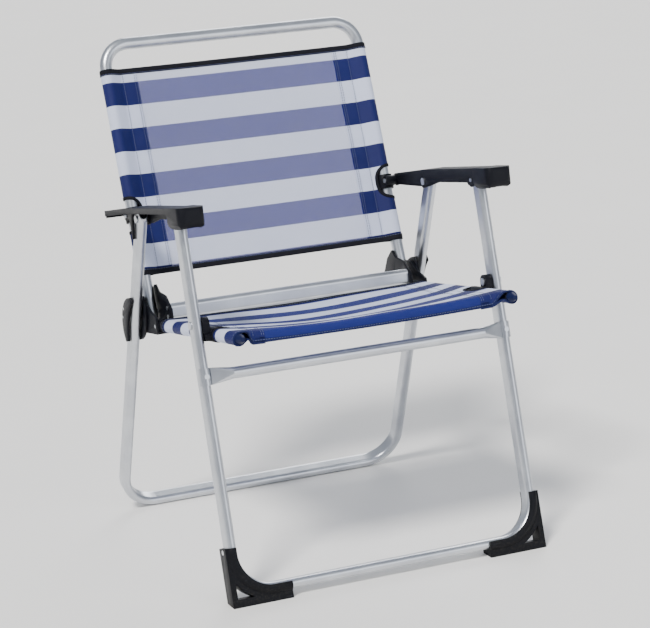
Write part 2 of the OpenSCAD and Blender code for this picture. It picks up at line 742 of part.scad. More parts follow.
rear_leg_tube();
rear_leg_plugs();
front_leg_tube();
front_leg_plugs();
front_brace();
brace_rivets();
left() front_foot();  // left_front_foot
front_foot();  // right_front_foot
foot_rivets();
left() armrest();  // left_armrest
armrest();  // right_armrest
front_arm_pins();
rear_arm_pins();
back_arm_pins();
left() seat_rail();  // left_seat_rail
seat_rail();  // right_seat_rail
rail_caps();
seat_crossbar();
crossbar_rivets();
seat_fabric();
left() hip_bracket();  // left_hip_bracket
hip_bracket();  // right_hip_bracket
hip_pins();
bracket_rivets();
left() knee_bracket();  // left_knee_bracket
knee_bracket();  // right_knee_bracket
knee_pins();
back_tube();
back_fabric();
left() back_clamp();  // left_back_clamp
back_clamp();  // right_back_clamp
left() slider_inner();  // left_slider_inner
slider_inner();  // right_slider_inner
left() slider_outer();  // left_slider_outer
slider_outer();  // right_slider_outer
slider_screws();
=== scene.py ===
# %% [markdown]
# # A folding camp chair, dressed around its engineered frame
#
# The chair's tubes, brackets, pins and joints were already modelled as exact solids, and they arrive here
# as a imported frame. This script gives them their finishes and makes the parts that a solid modeller can't
# show well: the striped mesh cloth with its sewn sleeves, its bindings and its rows of thread.

# %% Load the frame
import json
import math

import bmesh
import bpy
import numpy as np
from mathutils import Euler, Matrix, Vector


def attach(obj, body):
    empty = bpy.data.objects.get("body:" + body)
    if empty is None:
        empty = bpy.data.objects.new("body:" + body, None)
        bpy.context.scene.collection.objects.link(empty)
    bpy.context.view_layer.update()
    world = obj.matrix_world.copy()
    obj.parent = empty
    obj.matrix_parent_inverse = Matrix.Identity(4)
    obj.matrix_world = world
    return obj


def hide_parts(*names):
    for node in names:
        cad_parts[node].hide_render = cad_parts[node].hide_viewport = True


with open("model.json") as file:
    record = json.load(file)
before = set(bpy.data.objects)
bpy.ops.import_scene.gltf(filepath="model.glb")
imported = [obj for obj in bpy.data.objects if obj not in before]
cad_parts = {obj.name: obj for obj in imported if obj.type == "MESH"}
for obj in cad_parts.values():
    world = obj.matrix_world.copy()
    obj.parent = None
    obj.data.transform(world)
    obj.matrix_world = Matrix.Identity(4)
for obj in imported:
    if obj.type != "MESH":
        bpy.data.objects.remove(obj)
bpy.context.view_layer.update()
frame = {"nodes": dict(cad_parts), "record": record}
print("nodes:", len(frame["nodes"]))

# %% [markdown]
# ## Where things are
#
# Lengths below are in millimetres, because a chair maker thinks in them, and `MM` turns them into
# Blender's metres. The seat and the back each lean about a pin, so it is simplest to shape their cloth
# in a straight frame of its own and to lean the finished points at the end. Each leaning frame needs only
# the pin it turns about and an angle.

# %% Sizes shared with the tubes
MM = 0.001
RAIL_X = 227.0
SEAT_PIN = (-166.0, 413.0)
HIP_PIN = (116.0, 370.0)
SEAT_TILT = math.atan2(HIP_PIN[1] - SEAT_PIN[1], HIP_PIN[0] - SEAT_PIN[0])
BACK_LEAN = math.radians(-21.2)


def lean(points, pin, angle):
    """Turns points about the X axis by angle and carries them to a pin: y' = y cos a - z sin a,
    z' = y sin a + z cos a. Takes millimetres and returns metres."""
    x, y, z = points[..., 0], points[..., 1], points[..., 2]
    turned_y = y * math.cos(angle) - z * math.sin(angle) + pin[0]
    turned_z = y * math.sin(angle) + z * math.cos(angle) + pin[1]
    return np.stack([x, turned_y, turned_z], axis=-1) * MM


print("seat tilt in degrees:", round(math.degrees(SEAT_TILT), 2))

# %% [markdown]
# ## The camera
#
# The camera looks slightly down at the chair from the front and its right-hand side, from about three and
# a half metres away. A long lens keeps the legs nearly parallel. A small roll about the line of sight
# is part of the view, so the camera's turn is built from its three axes and not from a target.

# %% Camera
SPOT = Vector((-1.4736, -3.5302, 1.3151))
AZIMUTH, ELEVATION, ROLL = (math.radians(a) for a in (-23.072, 14.054, -2.778))
LENS = 134.69


def view_turn(azimuth, elevation, roll):
    """The rotation of a camera that looks from azimuth and elevation towards the middle: its own Z axis
    points back to the eye, its X axis is level, and roll turns X and Y about Z."""
    return Euler((math.pi / 2 - elevation, 0, azimuth)).to_matrix() @ Euler((0, 0, roll)).to_matrix()


camera_data = bpy.data.cameras.new("camera")
camera_data.lens = LENS
camera = bpy.data.objects.new("camera", camera_data)
camera.matrix_world = view_turn(AZIMUTH, ELEVATION, ROLL).to_4x4()
camera.location = SPOT
bpy.context.scene.collection.objects.link(camera)
bpy.context.scene.camera = camera
print("camera at", tuple(round(c, 3) for c in camera.location))

# %% [markdown]
# ## Shader arithmetic
#
# A Blender material is a graph of nodes. Wiring Math nodes by hand hides simple formulas, so one small
# class holds a socket's value and lets Python's own operators add the nodes. Every other kind of node
# comes from its one method, `node`, which sets the node's settings first and its sockets after.


# %% A value that flows through a material
class Flow:
    """A value in a material's graph, which arithmetic extends with Math nodes."""

    def __init__(self, socket):
        self.socket = socket
        self.tree = socket.id_data

    def node(self, kind, sockets, out=0, **settings):
        """The output numbered out of a new node, after its settings and then its sockets are set."""
        made = self.tree.nodes.new("ShaderNode" + kind)
        for name, setting in settings.items():
            setattr(made, name, setting)
        for name, given in sockets.items():
            if isinstance(given, Flow):
                self.tree.links.new(given.socket, made.inputs[name])
            else:
                made.inputs[name].default_value = given
        return Flow(made.outputs[out])

    def math(self, operation, first, second=0.0):
        return self.node("Math", {0: first, 1: second}, operation=operation)

    def __add__(self, other):
        return self.math("ADD", self, other)

    def __sub__(self, other):
        return self.math("SUBTRACT", self, other)

    def __rsub__(self, other):
        return self.math("SUBTRACT", other, self)

    def __mul__(self, other):
        return self.math("MULTIPLY", self, other)

    def __truediv__(self, other):
        return self.math("DIVIDE", self, other)

    __radd__ = __add__
    __rmul__ = __mul__

    def step(self, low, high):
        """0 below low, 1 above high, and a smooth slope between."""
        return self.node("MapRange", {"Value": self, "From Min": low, "From Max": high},
                         interpolation_type="SMOOTHSTEP")

    def clip(self):
        """This value held between 0 and 1."""
        return self.math("MAXIMUM", self.math("MINIMUM", self, 1.0), 0.0)

    def noise(self, scale, detail=3.0, stretch=(1, 1, 1)):
        """Cloudy noise from 0 to 1, on this vector scaled along each axis."""
        placed = self.node("Mapping", {"Vector": self, "Scale": stretch})
        return self.node("TexNoise", {"Vector": placed, "Scale": scale, "Detail": detail})

    def part(self, axis):
        """One coordinate of a vector."""
        return self.node("SeparateXYZ", {0: self}, out=axis)

    def blend(self, first, second):
        """The colour first where this value is 0, and second where it is 1."""
        return self.node("Mix", {0: self, 6: first, 7: second}, out=2, data_type="RGBA")


def shade(red, green, blue):
    """A colour from the 0-255 numbers of a colour picker, made linear as shaders need it."""
    parts = np.array([red, green, blue]) / 255
    linear = np.where(parts <= 0.04045, parts / 12.92, ((parts + 0.055) / 1.055) ** 2.4)
    return (*linear.tolist(), 1.0)


def new_finish(name):
    """A material with a Principled BSDF, and the object coordinates that its patterns read."""
    material = bpy.data.materials.new(name)
    material.use_nodes = True
    tree = material.node_tree
    surface = tree.nodes["Principled BSDF"]
    coordinates = tree.nodes.new("ShaderNodeTexCoord")
    return material, surface, Flow(coordinates.outputs["Object"]), Flow(coordinates.outputs["UV"])


def feed(surface, **values):
    """Links or sets the shader's sockets. A name's underscores stand for spaces."""
    for name, given in values.items():
        socket = surface.inputs[name.replace("_", " ")]
        if isinstance(given, Flow):
            given.tree.links.new(given.socket, socket)
        else:
            socket.default_value = given


def relief(height, distance, strength=1.0):
    """A Bump node's normal from a height in 0-1 and the distance in metres that 1 stands for."""
    return height.node("Bump", {"Height": height, "Distance": distance, "Strength": strength})


# %% [markdown]
# ## Aluminium tube
#
# The frame is drawn aluminium tube with a satin, clear-anodised skin. Drawing leaves very fine lines along
# the tube, handling leaves faint cloudy smears, and sliders and sand leave short scuffs. The lines have to
# run along each member, so the material takes a stretch that is long in the tube's own direction, and a
# second one for the bar at its end.


# %% Tube finish
def tube_finish(name, side_run, bar_run, bar_low, bar_high, scuff_low=-1.0, scuff_high=-1.0):
    """Satin aluminium. side_run and bar_run are noise stretches; between heights bar_low and bar_high the
    lines follow the bar, and between scuff_low and scuff_high the tube is rubbed."""
    material, surface, place, _ = new_finish(name)
    height = place.part(2)
    in_bar = height.step(bar_low - 0.01, bar_low) * (1 - height.step(bar_high, bar_high + 0.01))
    lines = (1 - in_bar) * place.noise(1, 2, side_run) + in_bar * place.noise(1, 2, bar_run)
    clouds = place.noise(22, 4)
    dust = place.noise(420, 5)
    rubbed = height.step(scuff_low, scuff_low + 0.02) * (1 - height.step(scuff_high, scuff_high + 0.02))
    scuffs = rubbed * place.noise(1, 4, tuple(0.6 * r for r in side_run)).step(0.5, 0.62)
    nicks = place.noise(150, 2).step(0.68, 0.74)
    worn = (scuffs * 0.6 + nicks * 0.5).clip()
    clean = clouds.step(0.3, 0.75).blend(shade(190, 193, 199), shade(208, 211, 215))
    feed(surface,
         Base_Color=worn.blend(clean, shade(196, 198, 202)),
         Metallic=1.0,
         Roughness=0.2 + lines * 0.16 + clouds * 0.1 + worn * 0.14,
         Normal=relief(lines * 0.5 + dust * 0.2 - worn * 0.5, 0.00006))
    return material


UPRIGHT, ACROSS, FORE_AFT = (1400, 1400, 9), (9, 1400, 1400), (1400, 9, 1400)
FINISHES = {
    "rear_leg_tube": tube_finish("satin_rear_leg", UPRIGHT, ACROSS, -1, 0.05, 0.27, 0.42),
    "front_leg_tube": tube_finish("satin_front_leg", UPRIGHT, ACROSS, -1, 0.05),
    "back_tube": tube_finish("satin_back_tube", UPRIGHT, ACROSS, 0.77, 2),
    "front_brace": tube_finish("satin_brace", ACROSS, ACROSS, 8, 9),
    "seat_crossbar": tube_finish("satin_crossbar", ACROSS, ACROSS, 8, 9),
    "left_seat_rail": tube_finish("satin_rail", FORE_AFT, FORE_AFT, 8, 9),
}
FINISHES["right_seat_rail"] = FINISHES["left_seat_rail"]
print("tube finishes:", sorted(FINISHES))

# %% [markdown]
# ## Moulded plastic
#
# The armrests, brackets, sliders and feet are injection-moulded nylon, almost black, and the end caps of
# the seat rails are navy. The mould was spark-eroded, which prints a fine pebble grain. Hands polish the
# high spots, and grit leaves pale scratches, so the roughness and the colour both vary a little.


# %% Plastic finish
def plastic_finish(name, tint, dusty=0.0):
    """Grained dark plastic; dusty is how much pale sand clings near the ground."""
    material, surface, place, _ = new_finish(name)
    grain = place.node("TexVoronoi", {"Vector": place, "Scale": 1300.0}, feature="SMOOTH_F1")
    clouds = place.noise(35, 4)
    scratch_a = place.noise(1, 3, (60, 900, 900)).step(0.66, 0.7)
    scratch_b = place.noise(1, 3, (800, 70, 800)).step(0.67, 0.71)
    marks = (scratch_a + scratch_b).clip() * place.noise(14, 2).step(0.45, 0.65)
    low = 1 - place.part(2).step(0.0, 0.09)
    sand = low * place.noise(340, 5).step(0.45, 0.75) * dusty
    base = clouds.blend(shade(*(0.88 * c for c in tint)), shade(*(1.14 * c for c in tint)))
    scored = (marks * 0.35).blend(base, shade(84, 86, 92))
    feed(surface,
         Base_Color=sand.blend(scored, shade(176, 164, 142)),
         Roughness=0.38 + clouds * 0.16 + marks * 0.15 + sand * 0.3,
         Specular_IOR_Level=0.15,
         Normal=relief(grain * 0.6 + clouds * 0.2 - marks * 0.3, 0.00012, 0.6))
    return material


charcoal = plastic_finish("charcoal_nylon", (12, 13, 20))
ground_charcoal = plastic_finish("charcoal_nylon_feet", (11, 12, 17), 0.03)
navy_nylon = plastic_finish("navy_nylon_caps", (15, 23, 60))
print("plastics:", charcoal.name, ground_charcoal.name, navy_nylon.name)

# %% [markdown]
# ## Pins, rivets and screws
#
# These are zinc-plated steel: brighter and a little bluer than the tube, turned on a lathe, with a skin
# that dulls in cloudy patches.

# %% Zinc finish
zinc, zinc_surface, zinc_place, _ = new_finish("zinc_plate")
zinc_clouds = zinc_place.noise(90, 5)
zinc_spots = zinc_place.noise(700, 2).step(0.55, 0.7)
feed(zinc_surface,
     Base_Color=zinc_clouds.blend(shade(184, 188, 196), shade(222, 224, 226)),
     Metallic=1.0,
     Roughness=0.24 + zinc_clouds * 0.22 + zinc_spots * 0.12,
     Normal=relief(zinc_clouds * 0.5 + zinc_spots * 0.3, 0.00005))
for node in frame["nodes"]:
    if any(word in node for word in ("rivets", "pins", "screws")):
        FINISHES[node] = zinc
print("zinc nodes:", sum(finish is zinc for finish in FINISHES.values()))

# %% [markdown]
# ## Soft edges on the mouldings
#
# A moulded part never has a knife edge: the mould's own corners are rounded by half a millimetre or more,
# and that thin round is what catches the light. The solids have sharp edges, so each moulding is copied,
# its loose triangles are merged, flat faces are joined, and a Bevel modifier rounds what is left.


# %% Mouldings
SAME_POINT = 2e-6
FLAT_ANGLE, SHARP_ANGLE = math.radians(1), math.radians(35)


def moulded(node, radius, finish, body):
    """Copies a solid, merges its doubles, joins its flat faces, and rounds its edges by radius in mm."""
    mesh = frame["nodes"][node].data.copy()
    work = bmesh.new()
    work.from_mesh(mesh)
    bmesh.ops.remove_doubles(work, verts=work.verts, dist=SAME_POINT)
    bmesh.ops.dissolve_limit(work, angle_limit=FLAT_ANGLE, verts=work.verts, edges=work.edges,
                             delimit={"NORMAL"})
    for face in work.faces:
        face.smooth = True
    for edge in work.edges:
        edge.smooth = True
    work.to_mesh(mesh)
    work.free()
    piece = bpy.data.objects.new(node + "_moulding", mesh)
    bpy.context.scene.collection.objects.link(piece)
    bevel = piece.modifiers.new("soft_edges", "BEVEL")
    bevel.width = radius * MM
    bevel.segments = 2
    bevel.limit_method = "ANGLE"
    bevel.angle_limit = SHARP_ANGLE
    bevel.use_clamp_overlap = True
    bevel.harden_normals = True
    mesh.materials.clear()
    mesh.materials.append(finish)
    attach(piece, body)
    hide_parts(node)
    return piece


BODY_OF = {node: body for body, nodes in frame["record"]["behaviour"]["bodies"].items() for node in nodes}
ROUNDS = {"armrest": 1.2, "front_foot": 0.8, "hip_bracket": 0.7, "knee_bracket": 0.7, "back_clamp": 0.6,
          "slider_inner": 0.7, "slider_outer": 0.9}
for node, body in BODY_OF.items():
    for ending, radius in ROUNDS.items():
        if node.endswith(ending):
            moulded(node, radius, ground_charcoal if ending == "front_foot" else charcoal, body)
for node in ("rear_leg_plugs", "front_leg_plugs"):
    FINISHES[node] = charcoal
FINISHES["rail_caps"] = navy_nylon

# %% [markdown]
# ## How the cloth is laid
#
# Both cloths are one sheet each, wrapped round two tubes and sewn back on itself, so each side is a sleeve.
# Seen from the end, the sheet is one long line. It is worked out once as a path: out along the panel,
# round the tube and back to the seam. A point of the flat cloth is then a distance `u` across and a
# distance `v` along, and everything sewn to the cloth can use the same two numbers.


# %% The sleeved path
class Sleeved:
    """The end view of a sheet with a sleeve on each side, as a path (x, h) by its own length."""

    def __init__(self, tube_h, wrap, pinch_in, seam_in, panel):
        """tube_h is the tube's height in the end view and wrap the cloth's radius round it. The two layers
        part pinch_in from the tube and end at the seam, seam_in from it. panel gives the height at x."""
        pinch = np.array([RAIL_X - pinch_in, panel(RAIL_X - pinch_in)])
        centre = np.array([RAIL_X, tube_h])
        away = pinch - centre
        toward = math.atan2(away[1], away[0])
        spread = math.acos(wrap / np.hypot(*away))
        turn = np.linspace(toward - spread, toward + spread - 2 * math.pi, 60)
        round_tube = centre + wrap * np.stack([np.cos(turn), np.sin(turn)], axis=-1)
        across = np.linspace(0, pinch[0], 60)
        middle = np.stack([across, panel(across)], axis=-1)
        back_x = np.linspace(pinch[0], RAIL_X - seam_in, 12)
        under = np.stack([back_x, panel(back_x) - LAYER_GAP], axis=-1)
        half = np.concatenate([middle, round_tube, under])
        half = half[np.append(True, np.hypot(*np.diff(half, axis=0).T) > 0.05)]
        steps = np.hypot(*np.diff(half, axis=0).T)
        self.length = np.append(0, np.cumsum(steps))
        self.half = half
        self.reach = self.length[-1]
        self.seam_u = self.length_at(np.array([RAIL_X - seam_in, panel(RAIL_X - seam_in)]))
        self.pinch_u = self.length_at(pinch)
        self.outer_u = self.length_at(centre + np.array([wrap, 0]))

    def length_at(self, point):
        """How far along the path its nearest point to a point is."""
        dense = np.linspace(0, self.reach, 4000)
        line = np.stack([np.interp(dense, self.length, self.half[:, n]) for n in (0, 1)], axis=-1)
        return float(dense[np.argmin(np.hypot(*(line - point).T))])

    def at(self, u):
        """x and h at a signed distance u from the middle: the path, mirrored for negative u."""
        x = np.interp(np.abs(u), self.length, self.half[:, 0])
        return np.sign(u) * x, np.interp(np.abs(u), self.length, self.half[:, 1])


LAYER_GAP = 1.6
CLOTH = 0.9


def lay(spread, u, v, lift=0.0):
    """Points on a cloth, lifted off it by lift mm: P(u, v) + lift N, where N is the unit normal found
    from the differences of P over a tenth of a millimetre."""
    u, v, lift = np.broadcast_arrays(np.asarray(u, float), np.asarray(v, float), np.asarray(lift, float))
    small = 0.1
    along_u = spread(u + small, v) - spread(u - small, v)
    along_v = spread(u, v + small) - spread(u, v - small)
    normal = np.cross(along_u, along_v)
    normal /= np.linalg.norm(normal, axis=-1, keepdims=True)
    return spread(u, v) + lift[..., None] * normal * MM


print("cloth thickness in mm:", CLOTH)

# %% [markdown]
# ## The seat's shape
#
# The seat is a sling: it hangs between the rails in a curve, shallow at the taut front edge and deeper
# halfway back. The front edge turns down in a soft flap that ends just short of the rails, and near the
# rails the stitching gathers the cloth in small waves.

# %% Seat sheet
SEAT_FRONT, SEAT_REAR = -110.0, 215.3
SEAT_LONG = SEAT_REAR - SEAT_FRONT
SEAT_SAG = 17.0
RAIL_H = -18.0
RAIL_WRAP = 9.7
CURL_R, CURL_LONG = 9.0, 25.0
EDGE_SAG = 3.0
SEAT_GATHER, SEAT_GATHER_PITCH, SEAT_RIPPLE = 0.8, 41.0, 1.2


def seat_panel(x):
    """The sling's height at x: a parabola from the tops of the rails down to the sag in the middle."""
    return RAIL_H + RAIL_WRAP - SEAT_SAG * (1 - (x / RAIL_X) ** 2)


seat_path = Sleeved(RAIL_H, RAIL_WRAP, pinch_in=25.0, seam_in=46.0, panel=seat_panel)


def smooth(t):
    """The smooth step 3 t^2 - 2 t^3 of t clipped to 0-1."""
    t = np.clip(t, 0, 1)
    return t * t * (3 - 2 * t)


def seat_spread(u, v):
    """The seat cloth's point at u across and v back from its front edge. The end view gives x and h. The
    flap bends the first CURL_LONG mm of v a quarter turn round a circle and then straight down, fading out
    towards the rails. The sag grows from EDGE_SAG at both ends to its full depth. A sine of v that fades
    with the distance from the seam gathers the cloth."""
    x, h = seat_path.at(u)
    bay = 1 - (x / RAIL_X) ** 2
    fullness = np.sin(math.pi * np.clip(v / SEAT_LONG, 0, 1)) ** 0.8
    h = h + bay * (SEAT_SAG - EDGE_SAG) * (1 - fullness)
    inward = smooth((RAIL_X - 11 - np.abs(x)) / 16)
    before = np.clip(CURL_LONG - v, 0, None)
    angle = np.minimum(before / CURL_R, math.pi / 2)
    straight = np.clip(before - CURL_R * math.pi / 2, 0, None)
    y = SEAT_FRONT + v + inward * (before - CURL_R * np.sin(angle))
    h = h - inward * (CURL_R * (1 - np.cos(angle)) + straight)
    near_seam = np.exp(-((RAIL_X - np.abs(x) - 42) / 22) ** 2)
    h = h + near_seam * SEAT_GATHER * np.sin(2 * math.pi * v / SEAT_GATHER_PITCH + 0.7 * np.sin(v / 23))
    h = h + bay * SEAT_RIPPLE * np.sin(x / 43 + v / 61) * np.sin(v / 37)
    return lean(np.stack([x, y, h], axis=-1), SEAT_PIN, SEAT_TILT)


print("seat cloth, flat, in mm:", round(2 * seat_path.reach), "x", round(SEAT_LONG))

# %% [markdown]
# ## The back's shape
#
# The back cloth is stretched between the sides of the back tube. Both layers of a sleeve pull in to the
# middle plane of the tube, so a sleeve is a slim teardrop, and the panel bellies back very slightly.

# %% Back sheet
BACK_LOW, BACK_HIGH = 62.0, 405.3
BACK_LONG = BACK_HIGH - BACK_LOW
BACK_WRAP = 10.7
BACK_BELLY = 3.5
BACK_GATHER, BACK_GATHER_PITCH, BACK_RIPPLE = 0.5, 37.0, 0.6


def back_panel(x):
    """The panel's height over the tube's middle plane at x: a shallow belly, deepest in the middle."""
    return LAYER_GAP / 2 - BACK_BELLY * (1 - (np.asarray(x) / RAIL_X) ** 2)


back_path = Sleeved(0.0, BACK_WRAP, pinch_in=22.0, seam_in=50.0, panel=back_panel)


def back_spread(u, v):
    """The back cloth's point at u across and v down from its top edge. The end view's height points to
    the sitter. A sine of v, strongest beside the seam, gathers the sleeve."""
    x, h = back_path.at(u)
    near_seam = np.exp(-((RAIL_X - np.abs(x) - 46) / 18) ** 2)
    h = h + near_seam * BACK_GATHER * np.sin(2 * math.pi * v / BACK_GATHER_PITCH + np.sin(v / 29))
    h = h + smooth(1 - np.abs(x) / RAIL_X) * BACK_RIPPLE * np.sin(x / 51 + v / 67)
    return lean(np.stack([x, -h, BACK_HIGH - v], axis=-1), HIP_PIN, BACK_LEAN)


print("back cloth, flat, in mm:", round(2 * back_path.reach), "x", round(BACK_LONG))

# %% [markdown]
# ## Notches
#
# The sleeves are cut away where a bracket has to reach the tube: at the seat's knee brackets and at the
# back's clamps. On the flat cloth each cut is a rounded hole that the fold of the sleeve passes through.
# A superellipse gives such a hole with two half sizes and one number for how square it is.


# %% Notch outline
class Notch:
    """A superellipse in the flat cloth: (|u - cu| / a)^p + (|v - cv| / b)^p = 1."""

    def __init__(self, centre_u, centre_v, half_u, half_v, power):
        self.centre = np.array([centre_u, centre_v])
        self.half = np.array([half_u, half_v])
        self.power = power

    def measure(self, points):
        """Less than 1 inside, and the scale by which a point must be divided to reach the outline."""
        away = np.abs((points - self.centre) / self.half)
        return (away ** self.power).sum(axis=-1) ** (1 / self.power)

    def outline(self, count):
        """Points round the hole, each at an equal angle, pushed out to the curve."""
        turn = np.linspace(0, 2 * math.pi, count, endpoint=False)
        ring = self.centre + self.half * np.stack([np.cos(turn), np.sin(turn)], axis=-1)
        return self.centre + (ring - self.centre) / self.measure(ring)[:, None]


CLAMP_V = BACK_HIGH - 162.2
seat_notches = [Notch(side * seat_path.outer_u, 110.0, 34.0, 20.5, 6) for side in (-1, 1)]
back_notches = [Notch(side * back_path.outer_u, CLAMP_V, 33.0, 27.0, 2.6) for side in (-1, 1)]
print("notch half sizes in mm:", seat_notches[0].half, back_notches[0].half)

# %% [markdown]
# ## Building the sheets
#
# The sheet is a grid of `u` and `v`. Squares that fall inside a notch are dropped, and the corners left
# hanging over the hole are pulled back to its outline, so the cut is clean. A Solidify modifier gives the
# cloth its thickness, and a UV map keeps `u` and `v` for the woven stripes.


# %% Sheet builder
MIDDLE_U = 0.5


def link_piece(name, points, faces, finish, body):
    """Puts points (metres) and faces into a smooth mesh object that rides on a body."""
    mesh = bpy.data.meshes.new(name)
    mesh.from_pydata(points.reshape(-1, 3).tolist(), [], faces)
    mesh.polygons.foreach_set("use_smooth", np.full(len(mesh.polygons), True))
    mesh.update()
    piece = bpy.data.objects.new(name, mesh)
    bpy.context.scene.collection.objects.link(piece)
    mesh.materials.append(finish)
    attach(piece, body)
    return piece


def face_outward(piece):
    """Turns every face of a closed mesh to look out of it."""
    work = bmesh.new()
    work.from_mesh(piece.data)
    bmesh.ops.recalc_face_normals(work, faces=work.faces)
    work.to_mesh(piece.data)
    work.free()


def map_flat(piece, flat):
    """A UV map that holds one (u, v) pair in metres for each point of the mesh."""
    corners = np.empty(len(piece.data.loops), int)
    piece.data.loops.foreach_get("vertex_index", corners)
    layer = piece.data.uv_layers.new(name="cloth")
    layer.data.foreach_set("uv", flat[corners].ravel())


def grid_faces(rows, columns, wrap=False):
    """The corner numbers of a grid's squares; wrap joins the last column to the first."""
    numbers = np.arange(rows * columns).reshape(rows, columns)
    if wrap:
        numbers = np.concatenate([numbers, numbers[:, :1]], axis=1)
    return np.stack([numbers[:-1, :-1], numbers[1:, :-1], numbers[1:, 1:], numbers[:-1, 1:]],
                    axis=-1).reshape(-1, 4)


def sheet_piece(name, spread, path, long, notches, finish, body, node):
    """A grid of the cloth over u in -reach..reach and v in 0..long, with its notches cut."""
    fold = path.outer_u
    u = np.unique(np.concatenate([np.linspace(0, path.pinch_u, 60), np.linspace(path.pinch_u, fold, 22),
                                  np.linspace(fold, 2 * fold - path.pinch_u, 22),
                                  np.linspace(2 * fold - path.pinch_u, path.reach, 12)]))
    u = np.concatenate([-u[:0:-1], u])
    v = np.linspace(0, long, 112)
    flat = np.stack(np.meshgrid(u, v, indexing="ij"), axis=-1).reshape(-1, 2)
    faces = grid_faces(len(u), len(v))
    for notch in notches:
        faces = faces[notch.measure(flat[faces].mean(axis=1)) > 1]
        inside = notch.measure(flat)
        loose = (inside < 1) & np.isin(np.arange(len(flat)), faces)
        flat[loose] = notch.centre + (flat[loose] - notch.centre) / inside[loose, None]
    used, faces = np.unique(faces, return_inverse=True)
    faces = faces.reshape(-1, 4)
    flat = flat[used]
    piece = link_piece(name, lay(spread, flat[:, 0], flat[:, 1]), faces.tolist(), finish, body)
    map_flat(piece, flat * MM + [MIDDLE_U, 0])
    thickness = piece.modifiers.new("thickness", "SOLIDIFY")
    thickness.thickness = CLOTH * MM
    thickness.offset = 0
    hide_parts(node)
    print(name, "faces:", len(faces))
    return piece


# %% [markdown]
# ## Striped mesh cloth
#
# The cloth is an open weave of plastic-coated yarn, navy and white in bands of about 39 mm. One layer lets a
# good deal of the light behind it through, and the doubled sleeves hardly any, which is why the sleeves look
# so much deeper in colour; the single layer's navy is also painted lighter to stand for that light. The weave
# is two sets of yarn that pass over and under each other; their heights come from sines of `u` and `v`, and
# the gaps between yarns are where the sheet is thinnest and where painted shade darkens the colour.

# %% Cloth finish
BAND = 38.7
YARN = 1.5


def wave(value, pitch):
    """A sine of a length in metres with a pitch in mm, from 0 to 1."""
    return value.math("SINE", value * (2 * math.pi / (pitch * MM))) * 0.5 + 0.5


def cloth_finish(name, first_band, seam_u, thin, open_alpha, shut_alpha):
    """Banded woven cloth. first_band is the length in mm before the first navy band and seam_u the distance
    from the middle to the seam. The argument after seam_u is the navy of one layer, painted lighter to stand
    for the light shining through it, and the alphas are what one face of the panel and of a sleeve covers."""
    material, surface, place, flat = new_finish(name)
    across, along = flat.part(0) - MIDDLE_U, flat.part(1)
    ragged = (place.noise(600, 2) - 0.5) * 0.0006
    band = (along + ragged - first_band * MM) / (BAND * MM)
    turn = band.math("FLOORED_MODULO", band, 2.0)
    soft = 0.012
    navy = turn.step(0, soft) * (1 - turn.step(1, 1 + soft))
    navy = navy * band.step(-0.001, soft)
    over = wave(across, YARN) * wave(along, YARN * 0.8)
    under = (1 - wave(across, YARN)) * (1 - wave(along, YARN * 0.8))
    weave = (over + under).clip()
    side = across.math("ABSOLUTE", across)
    fade = place.noise(9, 4)
    slub = place.noise(1, 3, (40, 900, 900))
    single = side.step(seam_u * MM, (seam_u - 1) * MM)
    # The single layer's navy is painted lighter than the sleeves' deep navy, standing in for the light that
    # shines through one layer.
    blue = single.blend(fade.blend(shade(6, 15, 80), shade(10, 23, 98)),
                        fade.blend(shade(*thin), shade(*(1.12 * c for c in thin))))
    white = fade.blend(shade(208, 215, 240), shade(224, 230, 248))
    bands = navy.blend(white, blue)
    # Painted shade darkens the gaps between the yarns, where the weave dips. Darker slub streaks in the yarn
    # add to it, and both blend toward the shaded colours below.
    gap_shade_and_slub = ((1 - weave) * 0.26 + slub * 0.12).clip()
    sleeve = side.step((seam_u - 1) * MM, seam_u * MM)
    cover = open_alpha + weave * 0.1 + sleeve * (shut_alpha - open_alpha)
    feed(surface,
         Base_Color=gap_shade_and_slub.blend(bands, navy.blend(shade(150, 158, 190), shade(5, 11, 48))),
         Roughness=0.46 + weave * 0.14 + fade * 0.1,
         Alpha=cover.clip(),
         Specular_IOR_Level=0.3,
         Normal=relief(weave, 0.0003, 0.7))
    return material


SLEEVE = 0.97
# The fourth number of each cloth is its single layer's navy, painted lighter for the light shining through
# it; the back's is painted lighter than the seat's.
back_cloth_finish = cloth_finish("striped_mesh_back", 22.0, back_path.seam_u, (16, 32, 132), 0.6, SLEEVE)
seat_cloth_finish = cloth_finish("striped_mesh_seat", 0.0, seat_path.seam_u, (12, 28, 108), 0.9, SLEEVE)
seat_cloth = sheet_piece("seat_cloth", seat_spread, seat_path, SEAT_LONG, seat_notches,
                         seat_cloth_finish, "seat", "seat_fabric")
back_cloth = sheet_piece("back_cloth", back_spread, back_path, BACK_LONG, back_notches,
                         back_cloth_finish, "back", "back_fabric")

# %% [markdown]
# ## Binding
#
# A woven tape is folded over every raw edge. It is narrow and navy along the seat's front, where it hardly
# shows, and almost black everywhere else. Its section is a flat loop round the cloth's edge, and the loop
# is carried along the edge. At a notch the edge is the hole's own outline.

# %% Tape finish and sweep
def tape_finish(name, dark, pale):
    """Ribbed woven tape between two 0-255 colours."""
    material, surface, place, flat = new_finish(name)
    rib = wave(flat.part(0), 0.9) * 0.7 + place.noise(900, 2) * 0.3
    feed(surface,
         Base_Color=place.noise(25, 3).blend(shade(*dark), shade(*pale)),
         Roughness=0.62 + rib * 0.2,
         Specular_IOR_Level=0.2,
         Normal=relief(rib, 0.0002, 0.8))
    return material


TAPE, NARROW_TAPE, NOTCH_TAPE = 9.0, 4.6, 4.0
TAPE_THICK, NOTCH_TAPE_THICK = 2.5, 2.6
dark_tape = tape_finish("dark_binding_tape", (9, 9, 17), (16, 17, 27))
navy_tape = tape_finish("navy_binding_tape", (16, 24, 66), (24, 34, 82))


